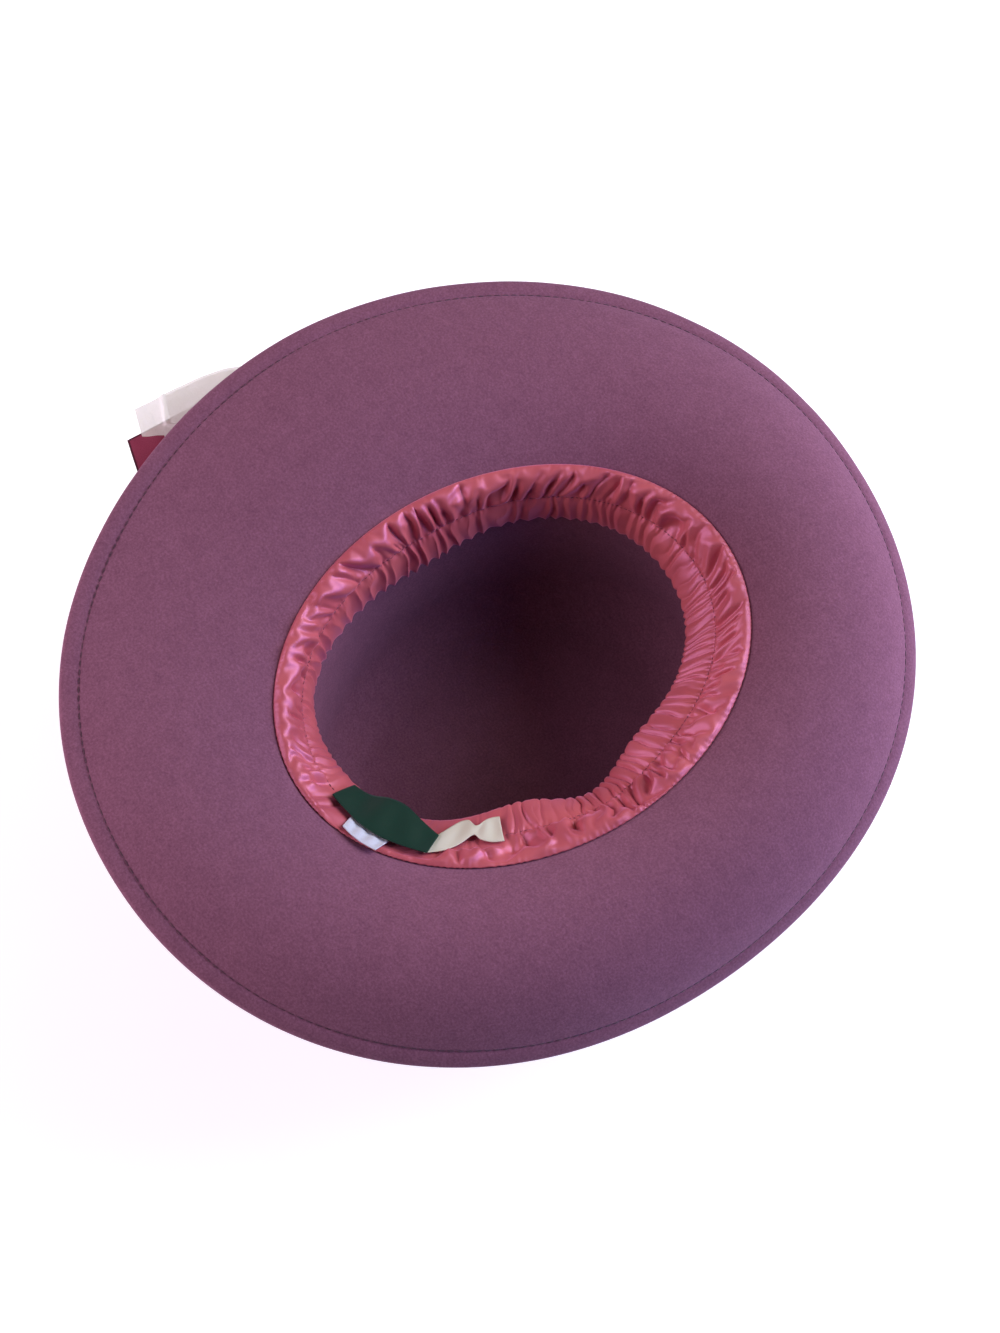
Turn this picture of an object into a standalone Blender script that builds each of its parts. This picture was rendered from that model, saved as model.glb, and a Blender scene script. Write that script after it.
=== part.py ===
# Wide-brim felt hat, lying crown down.
# Metres, +Z up. The crown's flat tip rests on z = 0, the hat's front faces -Y and the wearer's right is +X.
# Angles round the hat run from the wearer's right towards the back.

import math
from collections import namedtuple

import bmesh
import bpy
from mathutils import Vector

# Felt crown and brim
OPENING_LENGTH = 0.200
OPENING_WIDTH = 0.161
CROWN_DEPTH = 0.105
FELT = 0.0026
WALL_SLOPE = math.radians(84.0)
TIP_RADIUS = 0.024
BREAK_RADIUS = 0.007
HEM_WIDTH = 0.008
HEM_RISE = 0.0022

# Satin band inside the opening, sewn along the break and drawn in by an elastic
BAND_WIDTH = 0.033
BAND_LEAD = 0.35
SATIN = 0.0014
ELASTIC = 0.0012
CHANNEL_START = 0.60
GATHERS = 60
PUCKERS = 22

# Ribbon round the foot of the crown, and the knot that holds its ends
RIBBON = 0.001
HAT_BAND_LOW = 0.052
HAT_BAND_HIGH = 0.093
KNOT_ANGLE = math.radians(57.0)
KNOT_WIDTH = 0.022
KNOT_DEPTH = 0.012
KNOT_SIDE = 0.0040
KNOT_HEIGHT = 0.043
RIBBON_WIDTH = 0.050
RIBBON_GATHERED = 0.018
RIBBON_BOW = 0.0035
SPREAD = 0.45

LABEL = 0.001
GAP = 0.0003

# How finely the round shapes are cut
FELT_SIDES = 64
BAND_SIDES = 2 * GATHERS
TIP_STEPS = 4
BREAK_STEPS = 3
BRIM_STEPS = 6
EDGE_STEPS = 6
RIBBON_STEPS = 26
RIBBON_STRIPS = 6

# The brim every 45 degrees, from the wearer's right: width of felt, and its slope in degrees at each end
BrimRow = namedtuple("BrimRow", "side width slope_in slope_out")
BRIM = (
    BrimRow("right", 0.0900, 32, -13),
    BrimRow("right back", 0.0882, 18, -8),
    BrimRow("back", 0.0830, 42, -30),
    BrimRow("left back", 0.0862, 41, -62),
    BrimRow("left", 0.0844, 34, -80),
    BrimRow("left front", 0.0820, 38, -68),
    BrimRow("front", 0.0775, 43, -57),
    BrimRow("right front", 0.0860, 35, -27),
)

# How steeply the satin band drops from its seam, every 30 degrees from the wearer's right
BandRow = namedtuple("BandRow", "side dip")
BAND = (
    BandRow("right", 65),
    BandRow("right, towards the back", 70),
    BandRow("right back", 70),
    BandRow("back", 50),
    BandRow("back, towards the left", 41),
    BandRow("left back", 29),
    BandRow("left", 46),
    BandRow("left, towards the front", 31),
    BandRow("left front", 38),
    BandRow("front", 52),
    BandRow("front, towards the right", 71),
    BandRow("right front", 74),
)

# Labels sewn on the band: where they start and end round the hat in degrees, the share of the band's width
# where each end begins, how much of that width they cover, and how high they lie over the band's middle
LabelRow = namedtuple("LabelRow", "name start end low_start low_end cover lift colour")
LABELS = (
    LabelRow("care_label", 103.5, 114.5, -0.06, -0.06, 0.50, 0.0028, "#e9e4ec"),
    LabelRow("woven_label", 92.5, 124.5, 0.34, 0.06, 0.60, 0.0048, "#0d3a2b"),
    LabelRow("size_label", 124.0, 144.5, 0.50, 0.56, 0.32, 0.0032, "#e8dfc6"),
)

# Free ribbon ends: middle of the cut end, how far the cut slants and curls back at its corner under the brim,
# and the side of the knot that they leave from
RibbonRow = namedtuple("RibbonRow", "name end slant curl leaf colour rough")
RIBBON_ENDS = (
    RibbonRow("organza_ribbon_end", (0.1824, 0.0482, 0.100), -0.0082, 0.0060, -1, "#ded9cb", 0.45),
    RibbonRow("burgundy_ribbon_end", (0.1740, 0.0588, 0.096), -0.0045, 0.0, 1, "#7d2a41", 0.35),
)
LEAF_GAP = 0.0014

FELT_COLOUR = "#7c5068"
SATIN_COLOUR = "#c25c71"
BURGUNDY = "#7d2a41"


def clear_scene():
    for obj in list(bpy.data.objects):
        bpy.data.objects.remove(obj, do_unlink=True)


def linear(channel):
    if channel <= 0.04045:
        return channel / 12.92
    return ((channel + 0.055) / 1.055) ** 2.4


def material(name, colour, roughness):
    made = bpy.data.materials.new(name)
    made.use_nodes = True
    shader = made.node_tree.nodes["Principled BSDF"]
    channels = [linear(int(colour[k : k + 2], 16) / 255) for k in (1, 3, 5)]
    shader.inputs["Base Color"].default_value = (*channels, 1.0)
    shader.inputs["Roughness"].default_value = roughness
    shader.inputs["Metallic"].default_value = 0.0
    return made


# Value of a table's column at any angle, by a smooth closed curve through its rows
def around(rows, column, angle):
    place = angle / math.tau * len(rows)
    first = math.floor(place)
    share = place - first
    a, b, c, d = (getattr(rows[(first + k) % len(rows)], column) for k in (-1, 0, 1, 2))
    bend = 2 * a - 5 * b + 4 * c - d + share * (3 * (b - c) + d - a)
    return b + 0.5 * share * (c - a + share * bend)


def smooth(share):
    share = min(max(share, 0.0), 1.0)
    return share * share * (3 - 2 * share)


def place(angle, radius, height):
    return Vector((radius * math.cos(angle), radius * math.sin(angle), height))


# A closed body from a grid of points: rows joined in a ring or capped, columns running round each section
def tube(name, sections, finish, ring=False, poles=None):
    mesh = bmesh.new()
    grid = [[mesh.verts.new(point) for point in section] for section in sections]
    count = len(grid[0])
    rows = len(grid) if ring else len(grid) - 1
    wraps = count if poles is None else count - 1
    for row in range(rows):
        near, far = grid[row], grid[(row + 1) % len(grid)]
        for k in range(wraps):
            after = (k + 1) % count
            mesh.faces.new((near[k], near[after], far[after], far[k]))
    if poles:
        for pole, column in zip(poles, (0, -1)):
            hub = mesh.verts.new(pole)
            for row in range(rows):
                mesh.faces.new((hub, grid[row][column], grid[(row + 1) % len(grid)][column]))
    if not ring:
        half = count // 2
        for section in (grid[0], grid[-1]):
            for k in range(half - 1):
                mesh.faces.new((section[k], section[k + 1], section[-k - 2], section[-k - 1]))
    bmesh.ops.recalc_face_normals(mesh, faces=mesh.faces)
    data = bpy.data.meshes.new(name)
    mesh.to_mesh(data)
    mesh.free()
    data.shade_smooth()
    data.set_sharp_from_angle(angle=math.radians(50.0))
    data.materials.append(finish)
    made = bpy.data.objects.new(name, data)
    bpy.context.scene.collection.objects.link(made)
    return made


# Radius of the opening's oval, where the crown's wall breaks into the brim
def opening_radius(angle):
    length, width = OPENING_LENGTH / 2, OPENING_WIDTH / 2
    return length * width / math.hypot(length * math.cos(angle), width * math.sin(angle))


# Felt's upper face as (radius, height, slope) at a share of the brim's width: an arc from slope to slope
def brim_line(angle, share):
    width = around(BRIM, "width", angle)
    start = math.radians(around(BRIM, "slope_in", angle))
    turn = math.radians(around(BRIM, "slope_out", angle)) - start
    slope = start + turn * share
    radius = opening_radius(angle) + width * (math.sin(slope) - math.sin(start)) / turn
    height = CROWN_DEPTH + width * (math.cos(start) - math.cos(slope)) / turn
    return radius, height, slope


# Where the crown's straight wall meets the rounded break
def wall_top(angle):
    start = math.radians(around(BRIM, "slope_in", angle))
    radius = opening_radius(angle) - BREAK_RADIUS * (math.sin(WALL_SLOPE) - math.sin(start))
    height = CROWN_DEPTH - BREAK_RADIUS * (math.cos(start) - math.cos(WALL_SLOPE))
    return radius, height


# Felt's upper face inside the crown, from the tip's flat out and up to the break
def crown_line(angle):
    top_radius, top_height = wall_top(angle)
    foot_height = FELT + TIP_RADIUS * (1 - math.cos(WALL_SLOPE))
    foot_radius = top_radius - (top_height - foot_height) / math.tan(WALL_SLOPE)
    line = []
    for step in range(TIP_STEPS + 1):
        slope = WALL_SLOPE * step / TIP_STEPS
        inset = TIP_RADIUS * (math.sin(WALL_SLOPE) - math.sin(slope))
        line.append((foot_radius - inset, FELT + TIP_RADIUS * (1 - math.cos(slope)), slope))
    start = math.radians(around(BRIM, "slope_in", angle))
    for step in range(BREAK_STEPS):
        slope = WALL_SLOPE + (start - WALL_SLOPE) * step / BREAK_STEPS
        outset = BREAK_RADIUS * (math.sin(WALL_SLOPE) - math.sin(slope))
        rise = BREAK_RADIUS * (math.cos(slope) - math.cos(WALL_SLOPE))
        line.append((top_radius + outset, top_height + rise, slope))
    return line


# A point lifted off a sloping line, square to it
def lifted(angle, point, lift):
    radius, height, slope = point
    return place(angle, radius - lift * math.sin(slope), height + lift * math.cos(slope))


def felt_section(angle):
    width = around(BRIM, "width", angle)
    flat = 1 - HEM_WIDTH / width
    line = crown_line(angle)
    line += [brim_line(angle, flat * step / BRIM_STEPS) for step in range(BRIM_STEPS + 1)]
    points = [lifted(angle, point, 0.0) for point in line]
    edge = (FELT + HEM_RISE) / 2
    hem_back = HEM_WIDTH - HEM_RISE / 3
    points.append(lifted(angle, brim_line(angle, 1 - hem_back / width), HEM_RISE * 0.8))
    for step in range(EDGE_STEPS + 1):
        turn = math.pi * (0.5 - step / EDGE_STEPS)
        back = edge * (1 - math.cos(turn))
        lift = HEM_RISE - edge + edge * math.sin(turn)
        points.append(lifted(angle, brim_line(angle, 1 - back / width), lift))
    points += [lifted(angle, point, -FELT) for point in reversed(line)]
    return points


def felt_body():
    angles = [math.tau * k / FELT_SIDES for k in range(FELT_SIDES)]
    sections = [felt_section(angle) for angle in angles]
    poles = (Vector((0.0, 0.0, FELT)), Vector((0.0, 0.0, 0.0)))
    tube("felt_body", sections, material("felt", FELT_COLOUR, 0.95), ring=True, poles=poles)


# Middle of the satin band as (point, normal) in the (radius, height) plane, from its seam to its inner edge
def band_line(angle, share):
    radius, height, slope = brim_line(angle, 0.0)
    lift = GAP + SATIN / 2
    seam = Vector((radius - lift * math.sin(slope), height + lift * math.cos(slope)))
    dip = math.radians(around(BAND, "dip", angle))
    lead = seam - Vector((math.cos(slope), math.sin(slope))) * BAND_WIDTH * BAND_LEAD
    end = seam - Vector((math.cos(dip), math.sin(dip))) * BAND_WIDTH
    on = min(share, 1.0)
    point = seam * (1 - on) ** 2 + lead * 2 * on * (1 - on) + end * on**2
    along = (lead - seam) * (1 - on) + (end - lead) * on
    point += along.normalized() * (share - on) * BAND_WIDTH
    return point, Vector((along.y, -along.x)).normalized()


def band_point(angle, share, lift):
    point, normal = band_line(angle, share)
    return place(angle, *(point + normal * lift))


# How far a gather or a pucker lifts the satin, by number of gather and share of the band's width
def gather(side, share):
    swell = math.sin(math.pi * min(share / CHANNEL_START, 1.0))
    pucker = 0.0006 * swell * (1 + math.sin(PUCKERS * math.tau * side / BAND_SIDES))
    fold = 0.0008 * smooth((share - 0.3) / 0.4)
    return pucker + (fold if side % 2 else -fold)


def band_section(side):
    angle = math.tau * side / BAND_SIDES
    shares = (0.0, 0.15, 0.35, CHANNEL_START, 0.72, 0.88, 1.0)
    front, back = [], []
    for share in shares:
        swell = ELASTIC * math.sin(math.pi * max(share - CHANNEL_START, 0.0) / (1 - CHANNEL_START))
        half = SATIN / 2
        lift = gather(side, share)
        front.append(band_point(angle, share, lift + half + swell))
        back.append(band_point(angle, share, lift - half))
    return front + back[::-1]


def inner_band():
    sections = [band_section(side) for side in range(BAND_SIDES)]
    tube("inner_band", sections, material("satin", SATIN_COLOUR, 0.35), ring=True)


def sewn_label(row):
    steps = max(round((row.end - row.start) / 3), 3)
    sections = []
    for step in range(steps + 1):
        angle = math.radians(row.start + (row.end - row.start) * step / steps)
        low = row.low_start + (row.low_end - row.low_start) * step / steps
        shares = [low + row.cover * k / 3 for k in range(4)]
        front = [band_point(angle, share, row.lift + LABEL) for share in shares]
        back = [band_point(angle, share, row.lift) for share in shares]
        sections.append(front + back[::-1])
    tube(row.name, sections, material(row.name.replace("_", " "), row.colour, 0.7))


# Outer face of the crown's wall at a height, as a point that distance off the felt
def wall_point(angle, height, off):
    top_radius, top_height = wall_top(angle)
    radius = top_radius - (top_height - height) / math.tan(WALL_SLOPE)
    return lifted(angle, (radius, height, WALL_SLOPE), -FELT - off)


def hat_band():
    sections = []
    for k in range(FELT_SIDES):
        angle = math.tau * k / FELT_SIDES
        inner = [wall_point(angle, height, GAP) for height in (HAT_BAND_LOW, HAT_BAND_HIGH)]
        outer = [wall_point(angle, height, GAP + RIBBON) for height in (HAT_BAND_HIGH, HAT_BAND_LOW)]
        sections.append(inner + outer)
    tube("hat_band", sections, material("burgundy ribbon", BURGUNDY, 0.35), ring=True)


# Directions at the knot: square to the oval, and along it towards the front
def knot_axes():
    x = math.cos(KNOT_ANGLE) / OPENING_WIDTH**2
    y = math.sin(KNOT_ANGLE) / OPENING_LENGTH**2
    out = Vector((x, y, 0.0)).normalized()
    return out, Vector((out.y, -out.x, 0.0))


def knot_half_turn():
    return KNOT_WIDTH / 2 / opening_radius(KNOT_ANGLE)


def ribbon_knot():
    out, _ = knot_axes()
    middle = (HAT_BAND_LOW + HAT_BAND_HIGH) / 2
    half_turn = knot_half_turn()
    sections = []
    for height_share in (-1.0, -0.85, -0.4, 0.0, 0.4, 0.85, 1.0):
        height = middle + KNOT_HEIGHT / 2 * height_share
        swell = 0.7 + 0.3 * math.sqrt(1 - height_share**2)
        front, back = [], []
        for k in range(-3, 4):
            depth = 0.35 + 0.65 * math.sqrt(1 - (0.98 * k / 3) ** 2)
            base = wall_point(KNOT_ANGLE - half_turn * k / 3, height, 2 * GAP + RIBBON)
            front.append(base + out * (KNOT_DEPTH * depth * swell))
            back.append(base)
        sections.append(front + back[::-1])
    tube("ribbon_knot", sections, bpy.data.materials["burgundy ribbon"])


def ribbon_end(row):
    out, side = knot_axes()
    middle = (HAT_BAND_LOW + HAT_BAND_HIGH) / 2
    knot_edge = wall_point(KNOT_ANGLE - knot_half_turn(), middle, RIBBON + 2 * GAP)
    start = knot_edge + side * 2 * GAP + out * KNOT_SIDE
    end = Vector(row.end)
    run = Vector((end.x - start.x, end.y - start.y, 0.0))
    axis = run.normalized()
    level = Vector((-axis.y, axis.x, 0.0))
    sections = []
    for step in range(RIBBON_STEPS + 1):
        share = step / RIBBON_STEPS
        turn = math.pi / 2 * smooth(share / SPREAD)
        across = level * math.sin(turn) + Vector((0.0, 0.0, 1.0)) * math.cos(turn)
        normal = axis.cross(across)
        width = RIBBON_GATHERED + (RIBBON_WIDTH - RIBBON_GATHERED) * smooth(share / SPREAD)
        centre = start + run * share + level * (RIBBON_BOW * 4 * share * (1 - share))
        centre.z = start.z + (end.z - start.z) * (1 - (1 - share) ** 2)
        centre += out * (row.leaf * LEAF_GAP * (1 - share))
        front, back = [], []
        for k in range(RIBBON_STRIPS + 1):
            over = k / RIBBON_STRIPS - 0.5
            back_off = row.slant * over - row.curl * (0.5 - over) ** 4
            point = centre + across * (width * over) + axis * (back_off * share)
            front.append(point + normal * RIBBON / 2)
            back.append(point - normal * RIBBON / 2)
        sections.append(front + back[::-1])
    tube(row.name, sections, material(row.name.split("_")[0] + " end", row.colour, row.rough))


clear_scene()
felt_body()
inner_band()
for label in LABELS:
    sewn_label(label)
hat_band()
ribbon_knot()
for ribbon in RIBBON_ENDS:
    ribbon_end(ribbon)
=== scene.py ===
import math

import bpy
import numpy as np
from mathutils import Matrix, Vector, noise


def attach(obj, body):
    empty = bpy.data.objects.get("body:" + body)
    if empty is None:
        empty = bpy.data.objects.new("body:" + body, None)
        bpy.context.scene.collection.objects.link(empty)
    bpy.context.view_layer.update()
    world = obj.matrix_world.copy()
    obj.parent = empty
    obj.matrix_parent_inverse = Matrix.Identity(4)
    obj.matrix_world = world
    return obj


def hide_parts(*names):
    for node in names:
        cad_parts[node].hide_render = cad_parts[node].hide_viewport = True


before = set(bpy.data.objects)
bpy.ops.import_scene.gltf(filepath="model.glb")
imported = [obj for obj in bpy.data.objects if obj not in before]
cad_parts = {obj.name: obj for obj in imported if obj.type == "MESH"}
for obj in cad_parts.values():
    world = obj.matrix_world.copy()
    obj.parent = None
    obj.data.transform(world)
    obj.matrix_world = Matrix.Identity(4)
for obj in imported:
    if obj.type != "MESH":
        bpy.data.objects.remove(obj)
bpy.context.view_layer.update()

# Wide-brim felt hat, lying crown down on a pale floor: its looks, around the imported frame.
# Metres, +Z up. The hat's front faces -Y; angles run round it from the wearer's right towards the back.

mm = 0.001

# The hat's own form: the same driving sizes as its solids

hat = {
    "openingLength": 200 * mm,
    "openingWidth": 161 * mm,
    "crownDepth": 105 * mm,
    "felt": 2.6 * mm,
    "wallSlope": math.radians(84),
    "tipRadius": 24 * mm,
    "breakRadius": 7 * mm,
    # the brim every 45 degrees from the wearer's right
    "brimWidth": (0.0900, 0.0882, 0.0830, 0.0862, 0.0844, 0.0820, 0.0775, 0.0860),
    "slopeIn": (32, 18, 42, 41, 34, 38, 43, 35),
    "slopeOut": (-13, -8, -30, -62, -80, -68, -57, -27),
}


def aroundHat(values, angle):  # a smooth closed curve through rows set evenly round the hat
    table = np.array(values, float)
    place = np.asarray(angle, float) / math.tau * len(table)
    first = np.floor(place).astype(int)
    share = place - first
    a, b, c, d = (table[(first + k) % len(table)] for k in (-1, 0, 1, 2))
    bend = 2 * a - 5 * b + 4 * c - d + share * (3 * (b - c) + d - a)
    return b + 0.5 * share * (c - a + share * bend)


def smooth(share):
    share = np.clip(share, 0.0, 1.0)
    return share * share * (3 - 2 * share)


def openingRadius(angle):
    length, width = hat["openingLength"] / 2, hat["openingWidth"] / 2
    return length * width / np.hypot(length * np.cos(angle), width * np.sin(angle))


def brimLine(angle, share):  # felt's upper face at a share of the brim's width: radius, height, slope
    width = aroundHat(hat["brimWidth"], angle)
    start = np.radians(aroundHat(hat["slopeIn"], angle))
    turn = np.radians(aroundHat(hat["slopeOut"], angle)) - start
    slope = start + turn * share
    radius = openingRadius(angle) + width * (np.sin(slope) - np.sin(start)) / turn
    height = hat["crownDepth"] + width * (np.cos(start) - np.cos(slope)) / turn
    return radius, height, slope


def wallTop(angle):
    start = np.radians(aroundHat(hat["slopeIn"], angle))
    radius = openingRadius(angle) - hat["breakRadius"] * (math.sin(hat["wallSlope"]) - np.sin(start))
    height = hat["crownDepth"] - hat["breakRadius"] * (np.cos(start) - math.cos(hat["wallSlope"]))
    return radius, height


def lifted(angle, line, lift):  # a point off a sloping line, square to it
    radius, height, slope = line
    out = radius - lift * np.sin(slope)
    return np.stack([out * np.cos(angle), out * np.sin(angle), height + lift * np.cos(slope)], axis=-1)


def ripple(points, size, seed):  # smooth noise at each point, about -1 to 1
    place = points / size + seed
    return np.array([noise.noise(Vector(p)) for p in place.reshape(-1, 3)]).reshape(points.shape[:-1])


# Mesh making

def gridPiece(name, points, finish, ring=True, poles=(), scale=None):
    # rows run round or along the piece, columns across it
    rows, columns = points.shape[:2]
    index = np.arange(rows * columns).reshape(rows, columns)
    after = np.roll(index, -1, axis=0) if ring else index[1:]
    near = index if ring else index[:-1]
    faces = np.stack([near[:, :-1], after[:, :-1], after[:, 1:], near[:, 1:]], axis=-1)
    faces = faces.reshape(-1, 4).tolist()
    spots = points.reshape(-1, 3).tolist()
    for pole, column in poles:
        spots.append(pole)
        line = index[::-1, column] if column == 0 else index[:, column]
        faces += [(len(spots) - 1, line[k], line[(k + 1) % rows]) for k in range(rows)]
    mesh = bpy.data.meshes.new(name)
    mesh.from_pydata(spots, [], faces)
    mesh.shade_smooth()
    mesh.materials.append(finish)
    if scale:  # threads run along u and across v, both in metres
        u = np.append(np.repeat(np.linspace(0, scale[0], rows), columns), [scale[0] / 2] * len(poles))
        v = np.tile(np.linspace(0, scale[1], columns), rows)
        v = np.append(v, [pole * scale[1] for pole in range(len(poles))])
        rim = np.minimum(v, scale[1] - v) if ring else np.minimum(np.minimum(v, scale[1] - v), scale[0] - u)
        corner = np.zeros(len(mesh.loops), np.int32)
        mesh.loops.foreach_get("vertex_index", corner)
        for layer, first, second in (("threads", u, v), ("rim", rim, rim)):
            places = np.stack([first[corner], second[corner]], axis=-1)
            mesh.uv_layers.new(name=layer).data.foreach_set("uv", places.ravel())
    made = bpy.data.objects.new(name, mesh)
    bpy.context.scene.collection.objects.link(made)
    return made


def thicken(piece, thickness):
    shell = piece.modifiers.new("thickness", "SOLIDIFY")
    shell.thickness = thickness
    shell.offset = 0.0
    applied(piece)


def applied(piece):  # makes the piece's modifiers part of its mesh
    bpy.context.view_layer.update()
    seen = piece.evaluated_get(bpy.context.evaluated_depsgraph_get())
    mesh = bpy.data.meshes.new_from_object(seen)
    old = piece.data
    piece.modifiers.clear()
    piece.data = mesh
    bpy.data.meshes.remove(old)
    mesh.name = piece.name


def stitchRow(name, starts, ends, ups, thread, finish):  # one little bowed capsule a stitch
    starts, ends, ups = (np.asarray(part, float) for part in (starts, ends, ups))
    along = ends - starts
    side = np.cross(ups, along)
    side /= np.linalg.norm(side, axis=1, keepdims=True)
    # share of the way, thickness and rise, as shares of the thread's own
    rings = ((0.0, 0.25, -0.9), (0.12, 0.8, -0.1), (0.5, 1.0, 0.5), (0.88, 0.8, -0.1), (1.0, 0.25, -0.9))
    sides = 6
    spots, faces = [], []
    for share, fat, rise in rings:
        middle = starts + along * share + ups * (thread / 2 * rise)
        for k in range(sides):
            turn = math.tau * k / sides
            spots.append(middle + (side * math.cos(turn) + ups * math.sin(turn)) * (thread / 2 * fat))
    spots = np.stack(spots, axis=1)
    each = len(rings) * sides
    for n in range(len(starts)):
        base = n * each
        for r in range(len(rings) - 1):
            for k in range(sides):
                a, b = base + r * sides + k, base + r * sides + (k + 1) % sides
                faces.append((a, b, b + sides, a + sides))
        faces.append(tuple(base + k for k in reversed(range(sides))))
        faces.append(tuple(base + each - sides + k for k in range(sides)))
    mesh = bpy.data.meshes.new(name)
    mesh.from_pydata(spots.reshape(-1, 3).tolist(), [], faces)
    mesh.shade_smooth()
    mesh.materials.append(finish)
    made = bpy.data.objects.new(name, mesh)
    bpy.context.scene.collection.objects.link(made)
    return made


# Material making

def colour(code):  # an sRGB hex code as linear light
    channels = [int(code[k:k + 2], 16) / 255 for k in (1, 3, 5)]
    return (*[c / 12.92 if c <= 0.04045 else ((c + 0.055) / 1.055) ** 2.4 for c in channels], 1.0)


def newMaterial(name, settings):
    made = bpy.data.materials.new(name)
    made.use_nodes = True
    shader = made.node_tree.nodes["Principled BSDF"]
    for socket, value in settings.items():
        shader.inputs[socket].default_value = value
    return made, made.node_tree, shader


def addNode(tree, kind, settings=None, links=None):
    node = tree.nodes.new("ShaderNode" + kind)
    for name, value in (settings or {}).items():
        if isinstance(name, int) or name in node.inputs:
            node.inputs[name].default_value = value
        else:
            setattr(node, name, value)
    for name, source in (links or {}).items():
        tree.links.new(source, node.inputs[name])
    return node


def shadeRamp(tree, source, stops):
    ramp = addNode(tree, "ValToRGB", links={"Fac": source})
    while len(ramp.color_ramp.elements) < len(stops):
        ramp.color_ramp.elements.new(0.5)
    for stop, (place, code) in zip(ramp.color_ramp.elements, stops):
        stop.position = place
        stop.color = colour(code)
    return ramp.outputs["Color"]


# Wool felt: fur-like wool pressed into a thick cloth. The eye gets a dull mauve with darker and paler
# fibres matted through it, a soft bloom where the nap is seen from the side, and no gloss.
# Single fibres are too fine to show, so tufts of them are drawn, 0.9 mm across.
def woolFelt():
    look = {"base": "#7e5065", "dark": "#6f4359", "pale": "#8c5b73", "fibre": 0.9 * mm, "mottle": 7 * mm}
    made, tree, shader = newMaterial("wool felt", {
        "Roughness": 0.95,
        "Specular IOR Level": 0.25,
        "Sheen Weight": 0.35,
        "Sheen Roughness": 0.45,
        "Sheen Tint": colour("#b79ac4"),
    })
    place = addNode(tree, "TexCoord").outputs["Object"]
    fibres = addNode(tree, "TexNoise", {"Scale": 1 / look["fibre"], "Detail": 5.0, "Roughness": 0.65},
                     {"Vector": place})
    mottle = addNode(tree, "TexNoise", {"Scale": 1 / look["mottle"], "Detail": 3.0, "Roughness": 0.6},
                     {"Vector": place})
    most = addNode(tree, "Math", {"operation": "MULTIPLY", 1: 0.82}, {0: fibres.outputs["Fac"]})
    both = addNode(tree, "Math", {"operation": "MULTIPLY_ADD", 1: 0.18},
                   {0: mottle.outputs["Fac"], 2: most.outputs[0]})
    stops = ((0.34, look["dark"]), (0.5, look["base"]), (0.66, look["pale"]))
    shade = shadeRamp(tree, both.outputs[0], stops)
    tree.links.new(shade, shader.inputs["Base Color"])
    bump = addNode(tree, "Bump", {"Strength": 0.45, "Distance": 0.25 * mm}, {"Height": fibres.outputs["Fac"]})
    tree.links.new(bump.outputs["Normal"], shader.inputs["Normal"])
    return made


# Polyester satin: long floating threads on its face. The eye gets a coral red with a broad, soft gloss, which
# turns lavender where a fold faces the window, and deep red in the valleys. Its threads, of 0.1 mm, are drawn
# at 0.3 mm to show at all.
def satin():
    look = {"base": "#c15c58", "deep": "#ae4b49", "thread": 0.3 * mm, "patch": 20 * mm}
    made, tree, shader = newMaterial("satin", {
        "Roughness": 0.5,
        "IOR": 1.9,
        "Specular IOR Level": 0.8,
        "Specular Tint": colour("#f8b0ea"),
        "Sheen Weight": 0.45,
        "Sheen Roughness": 0.5,
        "Sheen Tint": colour("#ffa4dc"),
    })
    place = addNode(tree, "TexCoord").outputs["Object"]
    weave = addNode(tree, "TexNoise", {"Scale": 1 / look["thread"], "Detail": 2.0}, {"Vector": place})
    patches = addNode(tree, "TexNoise", {"Scale": 1 / look["patch"], "Detail": 2.0}, {"Vector": place})
    shade = shadeRamp(tree, patches.outputs["Fac"], ((0.3, look["deep"]), (0.65, look["base"])))
    tree.links.new(shade, shader.inputs["Base Color"])
    bump = addNode(tree, "Bump", {"Strength": 0.12, "Distance": 0.05 * mm}, {"Height": weave.outputs["Fac"]})
    tree.links.new(bump.outputs["Normal"], shader.inputs["Normal"])
    return made


# Ribbed tape, as for labels: weft threads lie over a fine warp, so the eye gets close ribs across the tape.
# Real ribs are about 0.2 mm apart, which is too fine to show, so they are drawn at 0.35 mm.
def labelTape(name, code, darker, roughness):
    ribs = 0.35 * mm
    made, tree, shader = newMaterial(name, {
        "Roughness": roughness,
        "Specular IOR Level": 0.25,
        "Sheen Weight": 0.05,
    })
    threads = addNode(tree, "UVMap", {"uv_map": "threads"}).outputs["UV"]
    wave = addNode(tree, "TexWave", {"bands_direction": "X", "Scale": math.tau / (20 * ribs),
                                     "Distortion": 0.6, "Detail Scale": 3.0}, {"Vector": threads})
    shade = shadeRamp(tree, wave.outputs["Fac"], ((0.0, darker), (0.6, code)))
    tree.links.new(shade, shader.inputs["Base Color"])
    bump = addNode(tree, "Bump", {"Strength": 0.2, "Distance": 0.05 * mm}, {"Height": wave.outputs["Fac"]})
    tree.links.new(bump.outputs["Normal"], shader.inputs["Normal"])
    return made


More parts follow.
